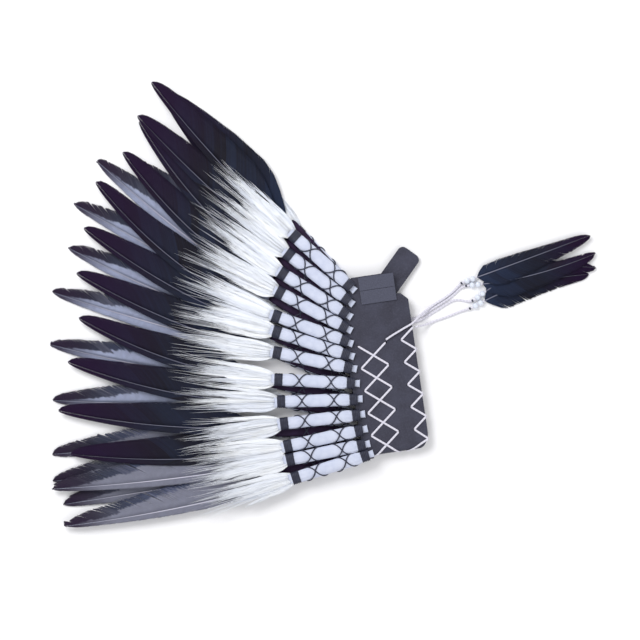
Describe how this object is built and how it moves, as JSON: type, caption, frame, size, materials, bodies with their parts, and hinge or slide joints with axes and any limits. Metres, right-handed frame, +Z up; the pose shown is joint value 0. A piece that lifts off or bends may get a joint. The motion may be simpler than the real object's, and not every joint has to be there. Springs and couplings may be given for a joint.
{
  "type": "feathered headdress",
  "caption": "Feathered headdress laid flat: laced leather headband folded at the forehead, cloth-sleeved quill feathers with white plumes, back closure and beaded drops.",
  "frame": {"origin": "middle of the footprint of the headdress without its drops, at the surface it lies on", "axes": "+Z up from the surface, +Y towards the headband's back closure, feathers reaching to -X"},
  "size_m": [0.7918, 0.6448, 0.0304],
  "materials": {
    "leather": "matt embossed",
    "loop_tape": "looped pile",
    "cotton_lace": "woven",
    "cotton_cloth": "woven",
    "black_feather": "satin",
    "grey_feather": "satin",
    "bead": "polished"
  },
  "bodies": {
    "root": {"headband": "leather", "closing_tab": "leather", "loop_tape_inner": "loop_tape", "loop_tape_outer": "loop_tape", "diamond_lacing": "cotton_lace", "edge_lacing": "cotton_lace", "near_sleeve_01": "cotton_cloth", "near_sleeve_02": "cotton_cloth", "near_sleeve_03": "cotton_cloth", "near_sleeve_04": "cotton_cloth", "near_sleeve_05": "cotton_cloth", "near_sleeve_06": "cotton_cloth", "near_sleeve_07": "cotton_cloth", "near_sleeve_08": "cotton_cloth", "near_sleeve_09": "cotton_cloth", "near_sleeve_10": "cotton_cloth", "near_sleeve_11": "cotton_cloth", "near_sleeve_12": "cotton_cloth", "near_sleeve_13": "cotton_cloth", "near_feather_01": "black_feather", "near_feather_02": "black_feather", "near_feather_03": "black_feather", "near_feather_04": "black_feather", "near_feather_05": "black_feather", "near_feather_06": "black_feather", "near_feather_07": "black_feather", "near_feather_08": "black_feather", "near_feather_09": "black_feather", "near_feather_10": "black_feather", "near_feather_11": "black_feather", "near_feather_12": "black_feather", "near_feather_13": "black_feather", "far_feather_01": "grey_feather", "far_feather_02": "grey_feather", "far_feather_03": "grey_feather", "far_feather_04": "grey_feather", "far_feather_05": "grey_feather", "far_feather_06": "grey_feather", "far_feather_07": "grey_feather", "far_feather_08": "grey_feather", "far_feather_09": "grey_feather", "far_feather_10": "grey_feather", "far_feather_11": "grey_feather", "far_feather_12": "grey_feather", "far_feather_13": "grey_feather", "drop_lace_1": "cotton_lace", "bead_pair_1": "bead", "drop_feather_1": "black_feather", "drop_lace_2": "cotton_lace", "bead_pair_2": "bead", "drop_feather_2": "black_feather", "drop_lace_3": "cotton_lace", "bead_pair_3": "bead", "drop_feather_3": "black_feather", "drop_lace_4": "cotton_lace", "bead_pair_4": "bead", "drop_feather_4": "black_feather"}
  },
  "joints": []
}
